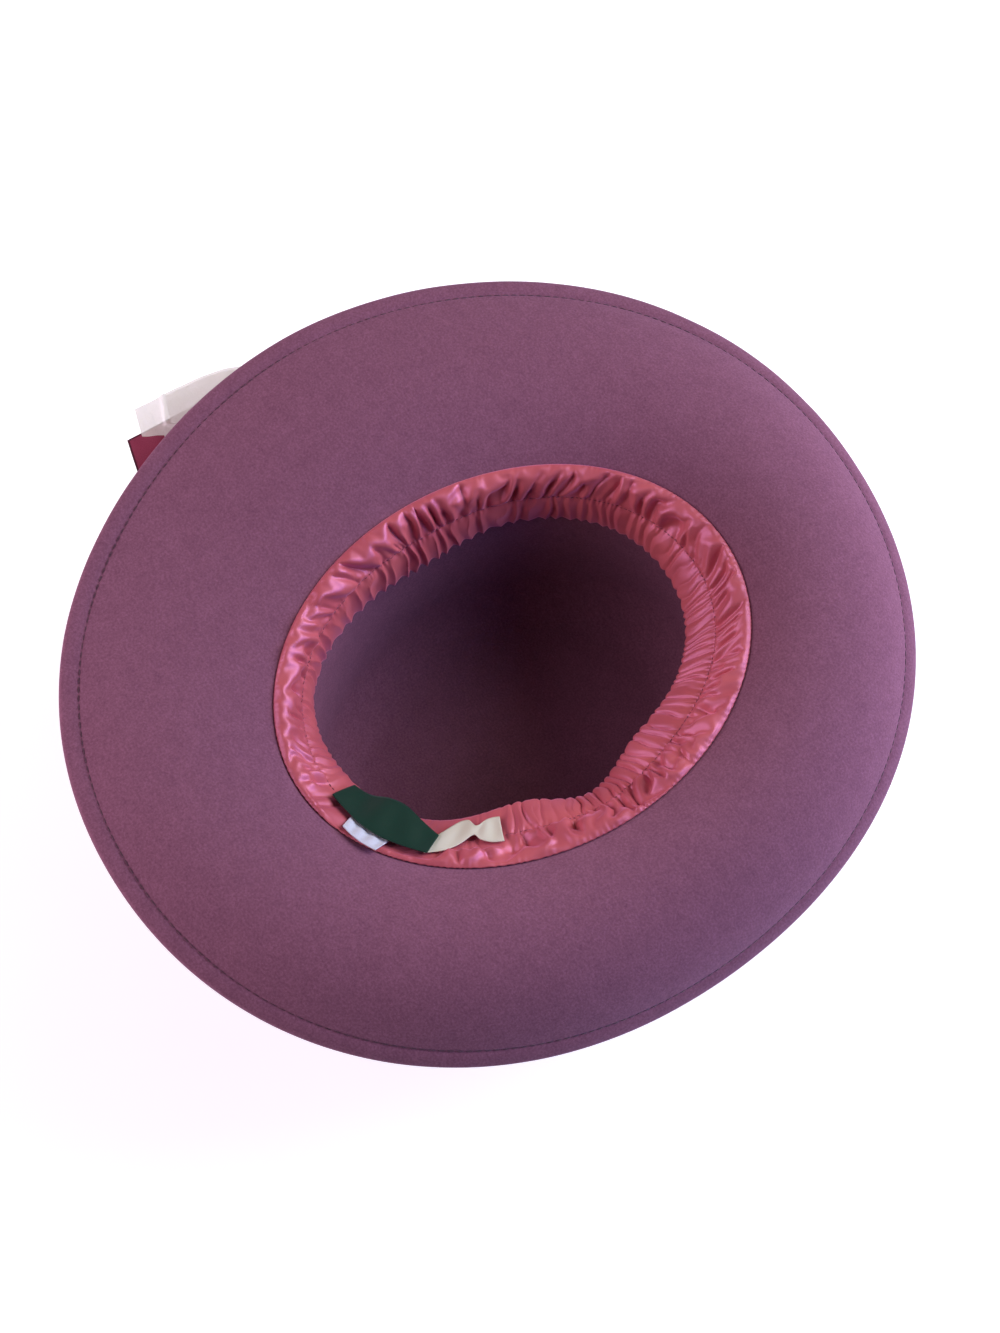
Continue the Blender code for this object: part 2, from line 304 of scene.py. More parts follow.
# Burgundy satin ribbon: tightly woven, so smooth, with a soft gloss, and darker in its turned edges, where
# that shade is painted on as a dark border.
# Its threads are drawn at 0.5 mm, coarser than they are, to show at all.
def satinRibbon():
    # the edge colour is painted shade: a dark border where the edges turn under
    look = {"base": "#9c405b", "deep": "#8b3650", "edge": "#541f32", "edgeShadeWidth": 0.9 * mm, "thread": 0.5 * mm}
    made, tree, shader = newMaterial("burgundy ribbon", {
        "Roughness": 0.45,
        "Specular IOR Level": 0.6,
        "Specular Tint": colour("#ffc4d4"),
        "Sheen Weight": 0.2,
        "Sheen Tint": colour("#d890a4"),
    })
    threads = addNode(tree, "UVMap", {"uv_map": "threads"}).outputs["UV"]
    weave = addNode(tree, "TexNoise", {"Scale": 1 / look["thread"], "Detail": 3.0}, {"Vector": threads})
    shade = shadeRamp(tree, weave.outputs["Fac"], ((0.3, look["deep"]), (0.6, look["base"])))
    # painted shade: the edge colour laid within a narrow border along the ribbon's edges
    rim = addNode(tree, "UVMap", {"uv_map": "rim"}).outputs["UV"]
    away = addNode(tree, "SeparateXYZ", links={"Vector": rim}).outputs["X"]
    near = addNode(tree, "Math", {"operation": "LESS_THAN", 1: look["edgeShadeWidth"]}, {0: away})
    withEdgeShade = addNode(tree, "MixRGB", {"Color2": colour(look["edge"])},
                    {"Fac": near.outputs[0], "Color1": shade})
    tree.links.new(withEdgeShade.outputs[0], shader.inputs["Base Color"])
    bump = addNode(tree, "Bump", {"Strength": 0.15, "Distance": 0.06 * mm}, {"Height": weave.outputs["Fac"]})
    tree.links.new(bump.outputs["Normal"], shader.inputs["Normal"])
    return made


# Organza: a crisp, sheer plain weave. The eye gets a pale veil that what lies behind shows through,
# with white glints along its creases.
def organza():
    look = {"base": "#f4f4ef", "cover": 0.68, "crinkle": 4 * mm}
    made, tree, shader = newMaterial("organza", {
        "Base Color": colour(look["base"]),
        "Roughness": 0.3,
        "Specular IOR Level": 0.9,
        "Alpha": look["cover"],
        "Sheen Weight": 0.4,
    })
    place = addNode(tree, "TexCoord").outputs["Object"]
    crinkle = addNode(tree, "TexNoise", {"Scale": 1 / look["crinkle"], "Detail": 5.0, "Roughness": 0.65},
                      {"Vector": place})
    bump = addNode(tree, "Bump", {"Strength": 0.7, "Distance": 0.8 * mm}, {"Height": crinkle.outputs["Fac"]})
    tree.links.new(bump.outputs["Normal"], shader.inputs["Normal"])
    return made


def thread(name, code):  # spun polyester thread: dull, with a slight sheen
    return newMaterial(name, {"Base Color": colour(code), "Roughness": 0.6, "Sheen Weight": 0.3})[0]


finish = {
    "felt": woolFelt(),
    "satin": satin(),
    "woven": labelTape("green woven tape", "#0e3a2c", "#062219", 0.5),
    "care": labelTape("white satin tape", "#d6dae6", "#bcc1d0", 0.4),
    "size": labelTape("cream tape", "#dcdccc", "#bdbba8", 0.6),
    "ribbon": satinRibbon(),
    "organza": organza(),
    "feltThread": thread("plum thread", "#4a2038"),
    "satinThread": thread("rose thread", "#8a3a52"),
}
print("materials made")


# The felt: one piece from the crown's tip to the hem

felt = {
    "around": 384,
    "brimSteps": 40,
    # the hem across, from where it starts: distance from the brim's edge and height over the felt, in mm
    "hem": ((9.5, 0.0), (9.0, 0.02), (8.7, -0.10), (8.3, -0.28), (7.9, -0.10), (7.5, 0.22), (7.0, 0.5),
            (6.4, 0.8), (5.7, 1.07), (4.9, 1.32), (4.1, 1.54), (3.3, 1.7), (2.7, 1.78)),
    "hemRise": 1.82 * mm,
    "edgeSteps": 8,
    "waver": 0.45 * mm,  # how far the brim's edge strays up and down
}


def feltColumns(angle):  # upper face from the middle of the tip to where the hem starts
    topRadius, topHeight = wallTop(angle)
    wall, tip, breakRadius = hat["wallSlope"], hat["tipRadius"], hat["breakRadius"]
    footHeight = hat["felt"] + tip * (1 - math.cos(wall))
    footRadius = topRadius - (topHeight - footHeight) / math.tan(wall)
    flatRadius = footRadius - tip * math.sin(wall)
    still = np.zeros_like(angle)
    columns = [(flatRadius * share, still + hat["felt"], still) for share in (0.12, 0.3, 0.5, 0.7, 0.87)]
    for slope in np.linspace(0, wall, 12):
        inset = tip * (math.sin(wall) - math.sin(slope))
        columns.append((footRadius - inset, still + hat["felt"] + tip * (1 - math.cos(slope)), still + slope))
    for share in np.linspace(0, 1, 12)[1:-1]:
        height = footHeight + (topHeight - footHeight) * share
        columns.append((footRadius + (height - footHeight) / math.tan(wall), height, still + wall))
    start = np.radians(aroundHat(hat["slopeIn"], angle))
    for share in np.linspace(0, 1, 9)[:-1]:
        slope = wall + (start - wall) * share
        outset = breakRadius * (math.sin(wall) - np.sin(slope))
        rise = breakRadius * (np.cos(slope) - math.cos(wall))
        columns.append((topRadius + outset, topHeight + rise, slope))
    width = aroundHat(hat["brimWidth"], angle)
    flat = 1 - felt["hem"][0][0] * mm / width
    columns += [brimLine(angle, flat * share) for share in np.linspace(0, 1, felt["brimSteps"])[:-1]]
    return columns


def wander(angle, share):  # how far the soft brim strays from its drawn curve, most at its edge
    swing = np.sin(3 * angle + 1.0) + 0.7 * np.sin(5 * angle + 2.4) + 0.5 * np.sin(9 * angle + 0.7)
    return felt["waver"] * swing * share ** 2


def feltBody():
    angle = np.arange(felt["around"]) * math.tau / felt["around"]
    width = aroundHat(hat["brimWidth"], angle)
    columns = feltColumns(angle)
    upper = [lifted(angle, line, 0.0) for line in columns]
    lower = [lifted(angle, line, -hat["felt"]) for line in columns]
    reach = [np.clip(np.hypot(p[:, 0], p[:, 1]) - openingRadius(angle), 0, None) / width for p in upper]
    for back, lift in felt["hem"]:
        line = brimLine(angle, 1 - back * mm / width)
        upper.append(lifted(angle, line, lift * mm))
        lower.append(lifted(angle, line, -hat["felt"]))
        reach.append(np.ones_like(angle))
    half = (hat["felt"] + felt["hemRise"]) / 2
    edge = []
    for turn in np.linspace(math.pi / 2, -math.pi / 2, felt["edgeSteps"]):
        line = brimLine(angle, 1 - half * (1 - math.cos(turn)) / width)
        edge.append(lifted(angle, line, felt["hemRise"] - half + half * math.sin(turn)))
    section = upper + edge + lower[::-1]
    reach = reach + [np.ones_like(angle)] * len(edge) + reach[::-1]
    points = np.stack(section, axis=1)
    share = np.stack(reach, axis=1)
    points[..., 2] += wander(angle[:, None], share)
    uneven = 0.28 * ripple(points, 26 * mm, 3.0) + 0.10 * ripple(points, 8 * mm, 9.0)
    points[..., 2] += uneven * mm * np.clip(share * 4 + 0.25, 0, 1) * (points[..., 2] > 8 * mm)
    poles = (([0.0, 0.0, hat["felt"]], 0), ([0.0, 0.0, 0.0], points.shape[1] - 1))
    piece = gridPiece("felt_hat", points, finish["felt"], poles=poles)
    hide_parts("felt_body")
    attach(piece, "root")


hemThread = {
    "fromEdge": 8.3 * mm,
    "count": 286,
    "pitch": 3.6 * mm,
    "long": 2.8 * mm,
    "thick": 0.38 * mm,
    "sunk": 0.12 * mm,
}


def hemStitches():
    angle = np.arange(hemThread["count"]) * math.tau / hemThread["count"]
    spots = []
    for step in (hemThread["long"] / hemThread["pitch"], 0.0):  # where each stitch ends, then where it starts
        a = angle + step * math.tau / hemThread["count"]
        line = brimLine(a, 1 - hemThread["fromEdge"] / aroundHat(hat["brimWidth"], a))
        spots.append(lifted(a, line, -hemThread["sunk"]) + np.stack([0 * a, 0 * a, wander(a, 1.0)], axis=-1))
    slope = line[2]
    ups = np.stack([-np.sin(slope) * np.cos(angle), -np.sin(slope) * np.sin(angle), np.cos(slope)], axis=-1)
    piece = stitchRow("hem_stitches", spots[1], spots[0], ups, hemThread["thick"], finish["feltThread"])
    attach(piece, "root")


feltBody()
hemStitches()
print("felt and hem stitches made")


# The satin band: a strip gathered on to an elastic, sewn round the opening

band = {
    "width": 33 * mm,
    "lead": 0.35,  # how far it follows the brim's slope before it drops, as a share of its width
    "seat": 1.0 * mm,  # from the felt to the middle of the band
    "clear": 0.75 * mm,  # the least that the satin stands off the felt
    "stitchRow": 0.60,
    "around": 720,
    "across": 12,  # steps from the seam to the row of stitches
    "channel": 16,  # steps from there to the inner edge
    "flatLength": 0.606,
    "seamLength": 0.568,
    "slant": 1.6,  # how far the folds lean over, in gathers
    "seed": 2.2 * mm,  # shallow folds that the cloth starts with
    "overSize": 20.0,  # cloth settings suit large pieces, so the strip is simulated so many times over size
    "frames": 26,
    "drawnIn": 18,  # the frame at which its sewn rows are in place
    "simulated": 0.65,  # share of the simulated folds, the rest is in the puffs between two creases
    "puff": 2.2 * mm,
    "pressed": 0.75,  # share of the folds that labels sewn on top press flat
    # how steeply it drops from its seam, every 30 degrees from the wearer's right
    "dip": (65, 70, 70, 50, 41, 29, 46, 31, 38, 52, 71, 74),
    # the gathers over the elastic, every 30 degrees, in mm: pitch, depth, how far they point out at its edge
    "pitch": (5.8, 6.0, 5.0, 4.4, 5.0, 5.4, 5.2, 4.8, 4.4, 4.6, 5.0, 5.6),
    "depth": (1.8, 2.0, 1.6, 1.2, 1.2, 1.4, 1.5, 1.4, 1.3, 1.3, 1.4, 1.7),
    "point": (3.0, 3.0, 1.6, 0.6, 0.3, 0.5, 0.8, 0.8, 0.8, 0.9, 1.4, 2.4),
    # 0 for flat gathers, 1 for sharp ones
    "crest": (1.0, 1.0, 0.9, 0.5, 0.0, 0.0, 0.0, 0.2, 0.2, 0.3, 0.6, 0.9),
}


def bandFrame(angle, share):  # middle of the band, its normal and its direction, as (radius, height)
    radius, height, slope = brimLine(angle, 0.0)
    dip = np.radians(aroundHat(band["dip"], angle))
    seam = np.stack([radius - band["seat"] * np.sin(slope), height + band["seat"] * np.cos(slope)], axis=-1)
    lead = seam - np.stack([np.cos(slope), np.sin(slope)], axis=-1) * band["width"] * band["lead"]
    end = seam - np.stack([np.cos(dip), np.sin(dip)], axis=-1) * band["width"]
    share = np.asarray(share, float)[..., None]
    on = np.minimum(share, 1.0)
    point = seam * (1 - on) ** 2 + lead * 2 * on * (1 - on) + end * on ** 2
    along = (lead - seam) * (1 - on) + (end - lead) * on
    along /= np.linalg.norm(along, axis=-1, keepdims=True)
    point = point + along * (share - on) * band["width"]
    return point, np.stack([along[..., 1], -along[..., 0]], axis=-1), along


def bandPoint(angle, share, lift=0.0, slide=0.0):
    point, normal, along = bandFrame(angle, share)
    flat = point + normal * np.asarray(lift)[..., None] + along * np.asarray(slide)[..., None]
    return np.stack([flat[..., 0] * np.cos(angle), flat[..., 0] * np.sin(angle), flat[..., 1]], axis=-1)


def bandNormal(angle, share):
    _, normal, _ = bandFrame(angle, share)
    return np.stack([normal[..., 0] * np.cos(angle), normal[..., 0] * np.sin(angle), normal[..., 1]], axis=-1)


def gatherCount(angle):  # counts the gathers round the band, closer where the pitch is finer
    fine = np.linspace(0, math.tau, 4 * band["around"] + 1)
    pace = openingRadius(fine) * 0.86 / (aroundHat(band["pitch"], fine) * mm)
    uneven = 0.4 * np.sin(11 * fine + 0.5) * np.sin(17 * fine)
    pace *= 1 + uneven + 0.3 * np.sin(41 * fine + 2 * np.sin(5 * fine))
    total = np.concatenate([[0], np.cumsum((pace[1:] + pace[:-1]) / 2 * np.diff(fine))])
    total *= round(total[-1]) / total[-1]
    return np.interp(angle, fine, total)


# The strip starts at its flat length and its two sewn rows are drawn in, so the cloth between them buckles
def foldBySimulation(angle, share):
    grow = band["overSize"]
    rows, columns = angle.shape
    sewn = bandPoint(angle, share)
    loose = sewn[:, :1] * np.ones((1, columns, 1))
    loose[..., :2] *= band["flatLength"] / band["seamLength"]
    loose[..., 2] -= share * band["width"]
    turn = np.stack([np.cos(angle), np.sin(angle), 0 * angle], axis=-1)
    count = gatherCount(angle) * 0.8 + band["slant"] * np.sin(3 * angle + 0.6) * share
    fold = np.sin(math.tau * count + 1.4 * np.sin(13 * angle + 6 * share))
    fold *= 0.6 + 0.4 * np.sin(9 * angle + 1.0)
    loose += turn * (band["seed"] * fold * np.sin(math.pi * share))[..., None]
    strip = gridPiece("band_strip", loose * grow, finish["satin"])
    strip.shape_key_add(name="Basis")
    drawn = strip.shape_key_add(name="drawn in")
    drawn.data.foreach_set("co", (sewn * grow).astype(np.float32).ravel())
    for value, at in ((0.0, 1), (1.0, band["drawnIn"])):
        drawn.value = value
        drawn.keyframe_insert("value", frame=at)
    held = np.arange(rows * columns).reshape(rows, columns)[:, [0, columns - 1]]
    strip.vertex_groups.new(name="sewn").add(held.ravel().tolist(), 1.0, "REPLACE")
    cloth = strip.modifiers.new("cloth", "CLOTH")
    cloth.settings.vertex_group_mass = "sewn"
    cloth.settings.quality = 5
    cloth.settings.mass = 0.15
    cloth.settings.tension_stiffness = cloth.settings.compression_stiffness = 30
    cloth.settings.shear_stiffness = 10
    cloth.settings.bending_stiffness = 12.0
    cloth.settings.use_pressure = True  # the felt behind keeps the folds to the near side
    cloth.settings.uniform_pressure_force = 1.0
    cloth.settings.effector_weights.gravity = 0.0
    cloth.collision_settings.use_collision = False
    for at in range(1, band["frames"] + 1):
        bpy.context.scene.frame_set(at)
    applied(strip)
    folded = np.zeros(rows * columns * 3)
    strip.data.vertices.foreach_get("co", folded)
    bpy.context.scene.frame_set(1)
    bpy.data.objects.remove(strip)
    return folded.reshape(rows, columns, 3) / grow - sewn


def doubled(grid, axis, ring):  # a grid with a point set between each two, on a smooth curve
    grid = np.moveaxis(grid, axis, 0)
    if ring:
        before, after, later = (np.roll(grid, -k, axis=0) for k in (-1, 1, 2))
    else:
        padded = np.concatenate([2 * grid[:1] - grid[1:2], grid, 2 * grid[-1:] - grid[-2:-1]])
        before, after, later = padded[:-3], grid[1:], padded[3:]
    near = grid if ring else grid[:-1]
    between = (9 * (near + after) - before - later) / 16
    made = np.stack([near, between], axis=1).reshape(-1, *grid.shape[1:])
    if not ring:
        made = np.concatenate([made, grid[-1:]])
    return np.moveaxis(made, 0, axis)


def feltDepth(angle, points):  # how far each point stands off the felt behind the band
    columns = feltColumns(angle[:, 0])[24:52]
    felted = np.stack([np.stack([radius, height], axis=-1) for radius, height, _ in columns], axis=1)
    slopes = np.stack([slope for _, _, slope in columns], axis=1)
    place = np.stack([np.hypot(points[..., 0], points[..., 1]), points[..., 2]], axis=-1)
    gap = place[:, :, None] - felted[:, None]
    nearest = np.linalg.norm(gap, axis=-1).argmin(axis=2)
    slope = np.take_along_axis(slopes, nearest, axis=1)
    gap = np.take_along_axis(gap, nearest[..., None, None], axis=2)[:, :, 0]
    return gap[..., 1] * np.cos(slope) - gap[..., 0] * np.sin(slope)


def byChance(number, seed, spread):  # the same number between 0 and 1 for the same fold
    return np.modf(np.abs(np.sin(np.round(number) * seed) * spread))[0]


def satinBand():
    row = band["stitchRow"]
    coarse = np.arange(band["around"])[:, None] * math.tau / band["around"]
    coarse, place = np.broadcast_arrays(coarse, np.linspace(0, row, band["across"] + 1)[None, :])
    folds = foldBySimulation(coarse, place)
    for _ in range(3):  # heavy satin has no small wrinkles
        folds = (np.roll(folds, 1, axis=0) + 2 * folds + np.roll(folds, -1, axis=0)) / 4
    folds = doubled(doubled(folds, 0, True), 1, False) * band["simulated"]
    outer = np.linspace(0, row, folds.shape[1])
    share = np.concatenate([outer, np.linspace(row, 1, band["channel"] + 1)[1:]])
    around = len(folds)
    angle, share = np.broadcast_arrays(np.arange(around)[:, None] * math.tau / around, share[None, :])
    folds = np.concatenate([folds, np.zeros((around, band["channel"], 3))], axis=1)

    # gathers over the elastic
    count = gatherCount(angle) + 0.16 * np.sin(7 * angle + 9 * share) + 0.1 * np.sin(29 * angle + 14 * share)
    valley = np.abs(count - np.round(count)) * 2
    crest = aroundHat(band["crest"], angle)
    ridge = crest * valley ** 1.6 + (1 - crest) * (1 - np.exp(-(valley / 0.33) ** 1.5))
    depth = aroundHat(band["depth"], angle) * mm * (0.35 + 0.85 * byChance(count, 12.99, 437.58))
    inside = np.where(share > row, 1.0, smooth((share - row + 0.30) / 0.30))
    swell = np.sin(math.pi * np.clip((share - row) / (1 - row), 0, 1))
    dent = np.exp(-((share - row) / 0.03) ** 2)
    fine = np.sin(math.tau * gatherCount(angle) * 2.0 + 2.0 * np.sin(19 * angle))
    pucker = fine * (0.13 * np.exp(-share / 0.05) + 0.22 * np.exp(-((share - row) / 0.06) ** 2)) * mm
    lift = inside * depth * (0.4 + 0.6 * swell) * (ridge - 0.6) + swell * 0.7 * mm - dent * 0.2 * mm + pucker

    # creases of the outer part, each as long as chance has it, and puffs between them
    creases = gatherCount(angle) * 0.82 + band["slant"] * np.sin(3 * angle + 0.6) * share
    creases += 0.2 * np.sin(23 * angle + 5 * share)
    away = np.abs(creases - np.round(creases)) * 2
    reach = smooth((share / row - (0.55 - 0.75 * byChance(creases, 78.23, 931.1))) / 0.3)
    groove = np.exp(-(away / 0.42) ** 1.6) * reach
    lift += band["puff"] * np.sin(math.pi * np.clip(share / row, 0, 1)) ** 0.5 * (0.75 - groove)
    slide = smooth((share - 0.78) / 0.22) * aroundHat(band["point"], angle) * mm * (ridge - 0.35)

    # the stretch under the labels
    under = smooth((angle - math.radians(90)) / 0.05) * smooth((math.radians(146) - angle) / 0.05)
    below = 0.28 * smooth((angle - math.radians(126)) / 0.1)
    pressed = 1 - band["pressed"] * under * smooth((share - below) / 0.12)
    lift, folds = lift * pressed, folds * pressed[..., None]
    points = bandPoint(angle, share, lift, slide * pressed) + folds
    short = band["clear"] - feltDepth(angle, points)
    points = points + bandNormal(angle, share) * np.clip(short, 0, None)[..., None]

    # both edges are turned under: a lip on the felt, and a fold round the elastic
    seam = [bandPoint(angle[:, 0], np.full(around, place), down * mm + pucker[:, 0])
            for place, down in ((0.06, -0.7), (0.015, -0.7), (-0.012, -0.4))]
    back = [bandPoint(angle[:, 0], np.full(around, place), lift[:, -1] + down * mm, slide[:, -1])
            for place, down in ((1.012, -0.45), (1.0, -0.9), (0.93, -1.25), (0.8, -1.5))]
    whole = np.concatenate([np.stack(seam, axis=1), points, np.stack(back, axis=1)], axis=1)
    flat = (band["flatLength"], 1.25 * band["width"])
    piece = gridPiece("satin_band", whole, finish["satin"], scale=flat)
    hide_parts("inner_band")
    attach(piece, "root")
    return points


bandGrid = satinBand()
print("satin band made")


bandThread = {
    "pitch": 2.1 * mm,
    "long": 0.72 * 2.1 * mm,
    "thick": 0.34 * mm,
    "lift": 0.12 * mm,
}


def bandStitches():
    row = 2 * band["across"]  # the satin has two columns for each step of the simulated strip
    line = bandGrid[:, row]
    along = np.roll(line, -1, axis=0) - np.roll(line, 1, axis=0)
    ups = np.cross(along, bandGrid[:, row + 1] - bandGrid[:, row - 1])
    ups *= np.sign(ups[:, 2].mean())
    ups /= np.linalg.norm(ups, axis=1, keepdims=True)
    travel = np.concatenate([[0], np.cumsum(np.linalg.norm(np.diff(line, axis=0), axis=1))])
    places = np.arange(0, travel[-1] - bandThread["pitch"], bandThread["pitch"])
    first, last = (np.interp(places + step, travel, np.arange(len(line))).round().astype(int)
                   for step in (0.0, bandThread["long"]))
    raised = line + ups * bandThread["lift"]
    piece = stitchRow("band_stitches", raised[first], raised[last], ups[first], bandThread["thick"],
                      finish["satinThread"])
    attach(piece, "root")


bandStitches()


# Labels sewn on the band, all blank

# each edge runs through points of the band: angle, share of the band's width and height over it in mm
labels = (
    {"piece": "green_label", "node": "woven_label", "slot": "woven_label", "finish": "woven",
     "flat": (0.052, 0.018),
     "outer": ((95.5, 0.39, 2.8), (101.9, 0.32, 3.2), (109.2, 0.21, 3.4), (115.9, 0.17, 3.4),
               (121.0, 0.14, 3.5), (125.2, 0.12, 3.3)),
     "inner": ((94.2, 0.86, 2.6), (99.8, 0.86, 4.0), (105.6, 0.86, 7.6), (111.6, 0.84, 7.8),
               (118.6, 0.73, 5.4), (125.3, 0.575, 3.2))},
    {"piece": "white_label", "node": "care_label", "slot": "care_label", "finish": "care",
     "flat": (0.016, 0.012),
     "outer": ((104.4, 0.02, 1.9), (107.7, -0.06, 1.9), (111.0, -0.12, 1.9), (114.3, -0.15, 1.9)),
     "inner": ((103.2, 0.34, 2.1), (107.0, 0.30, 2.1), (111.0, 0.28, 2.1), (115.0, 0.28, 2.1))},
    {"piece": "cream_label", "node": "size_label", "slot": "size_label", "finish": "size",
     "flat": (0.033, 0.0135),
     "outer": ((124.2, 0.19, 1.9), (128.6, 0.31, 2.0), (132.0, 0.47, 2.0), (135.0, 0.61, 2.4),
               (137.6, 0.52, 2.2), (141.0, 0.46, 1.9), (144.8, 0.44, 1.9)),
     "inner": ((123.6, 0.56, 2.0), (127.9, 0.83, 2.2), (131.6, 0.88, 2.2), (135.0, 0.75, 2.8),
               (137.4, 0.82, 2.4), (139.6, 0.85, 2.0), (142.4, 0.84, 1.9))},
)


def through(rows, share):  # a smooth curve through evenly spaced rows
    table = np.array(rows, float)
    table = np.concatenate([2 * table[:1] - table[1:2], table, 2 * table[-1:] - table[-2:-1]])
    place = np.asarray(share) * (len(rows) - 1)
    first = np.clip(np.floor(place).astype(int), 0, len(rows) - 2)
    step = (place - first)[:, None]
    a, b, c, d = (table[first + k] for k in range(4))
    return b + 0.5 * step * (c - a + step * (2 * a - 5 * b + 4 * c - d + step * (3 * (b - c) + d - a)))


def sewnLabel(row):
    tape, droopDepth = 0.35 * mm, 0.35 * mm
    share = np.linspace(0, 1, 61)
    outer, inner = through(row["outer"], share)[:, None], through(row["inner"], share)[:, None]
    over = np.linspace(0, 1, 21)[None, :, None]
    table = outer + (inner - outer) * over
    droop = droopDepth * np.sin(math.pi * over[..., 0]) * np.sin(3.1 * math.tau * share)[:, None]
    points = bandPoint(np.radians(table[..., 0]), table[..., 1], table[..., 2] * mm + droop)
    piece = gridPiece(row["piece"], points, finish[row["finish"]], ring=False, scale=row["flat"])
    thicken(piece, tape)
    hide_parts(row["node"])
    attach(piece, "root")


for row in labels:
    sewnLabel(row)
print("labels made")


# Ribbon round the crown, its knot and its two loose ends

ribbon = {
    "low": 52 * mm,
    "high": 93 * mm,
    "gap": 0.3 * mm,
    "thick": 1.0 * mm,  # of its place round the crown, creases and all
    "cloth": 0.4 * mm,
    "bandFlat": (0.57, 0.041),
    "endFlat": (0.135, 0.045),
    "foldFlat": (0.04, 0.036),
    "knotAngle": math.radians(57),
    "knotWidth": 22 * mm,
    "knotDepth": 12 * mm,
    "knotHeight": 43 * mm,
    "knotSide": 4.0 * mm,
    "width": 50 * mm,
    "gathered": 18 * mm,
    "bow": 3.5 * mm,
    "spread": 0.45,
    "leafGap": 1.4 * mm,
}


def wallPoint(angle, height, off):
    topRadius, topHeight = wallTop(angle)
    radius = topRadius - (topHeight - height) / math.tan(hat["wallSlope"])
    return lifted(angle, (radius, height, hat["wallSlope"] + 0 * np.asarray(angle)), -hat["felt"] - off)


def hatBand():
    angle = np.arange(360)[:, None] * math.tau / 360
    over = np.linspace(0, 1, 17)[None, :]
    angle, over = np.broadcast_arrays(angle, over)
    height = ribbon["low"] + (ribbon["high"] - ribbon["low"]) * over
    crease = 0.18 * np.sin(3 * math.tau * over + 0.6 * np.sin(4 * angle))
    crease += 0.1 * np.sin(23 * angle + 5 * over)
    points = wallPoint(angle, height, ribbon["gap"] + (0.55 + crease) * mm)
    piece = gridPiece("crown_ribbon", points, finish["ribbon"], scale=ribbon["bandFlat"])
    thicken(piece, ribbon["cloth"])
    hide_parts("hat_band")
    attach(piece, "root")


def knotAxes():
    x = math.cos(ribbon["knotAngle"]) / hat["openingWidth"] ** 2
    y = math.sin(ribbon["knotAngle"]) / hat["openingLength"] ** 2
    out = np.array([x, y, 0.0]) / math.hypot(x, y)
    return out, np.array([out[1], -out[0], 0.0])


def knotHalfTurn():
    return ribbon["knotWidth"] / 2 / openingRadius(ribbon["knotAngle"])


def ribbonKnot():
    out, _ = knotAxes()
    middle = (ribbon["low"] + ribbon["high"]) / 2
    rows, columns = 48, 40
    rise = np.sin(np.linspace(-1, 1, rows) * math.pi / 2)[:, None]
    turn = np.linspace(0, math.tau, columns, endpoint=False)[None, :]
    rise, turn = np.broadcast_arrays(rise, turn)
    swell = 0.7 + 0.28 * np.sqrt(np.clip(1 - rise ** 2, 0, 1))
    sweep = np.cos(turn)
    depth = np.clip(np.sin(turn), 0, 1) ** 0.6
    pleat = 0.35 * mm * np.sin(7 * turn + 1.5 * rise) * depth
    angle = ribbon["knotAngle"] - knotHalfTurn() * 0.97 * sweep
    height = middle + (ribbon["knotHeight"] / 2 - 0.2 * mm) * rise
    base = wallPoint(angle, height, 2 * ribbon["gap"] + ribbon["thick"] + 0.1 * mm)
    points = base + out * (ribbon["knotDepth"] * 0.93 * depth * swell + pleat)[..., None]
    points = np.transpose(points, (1, 0, 2))
    low, high = points[:, 0].mean(axis=0), points[:, -1].mean(axis=0)
    poles = ((low.tolist(), 0), (high.tolist(), rows - 1))
    piece = gridPiece("knot", points, finish["ribbon"], poles=poles, scale=(0.06, ribbon["knotHeight"]))
    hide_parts("ribbon_knot")
    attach(piece, "root")


# end is the middle of the loose end; slant, curl, crinkle, tuck and crease are in mm
ends = (
    {"piece": "organza_end", "node": "organza_ribbon_end", "slot": "organza", "finish": "organza",
     "end": (0.1824, 0.0482, 0.100), "slant": -8.2, "curl": 6.0, "leaf": -1,
     "crinkle": 0.6, "tuck": 9.0, "crease": 0.9},
    {"piece": "burgundy_end", "node": "burgundy_ribbon_end", "slot": "burgundy_ribbon", "finish": "ribbon",
     "end": (0.1733, 0.0576, 0.096), "slant": -4.5, "curl": 0.0, "leaf": 1,
     "crinkle": 0.35, "tuck": 0.0, "crease": 0.0},
)


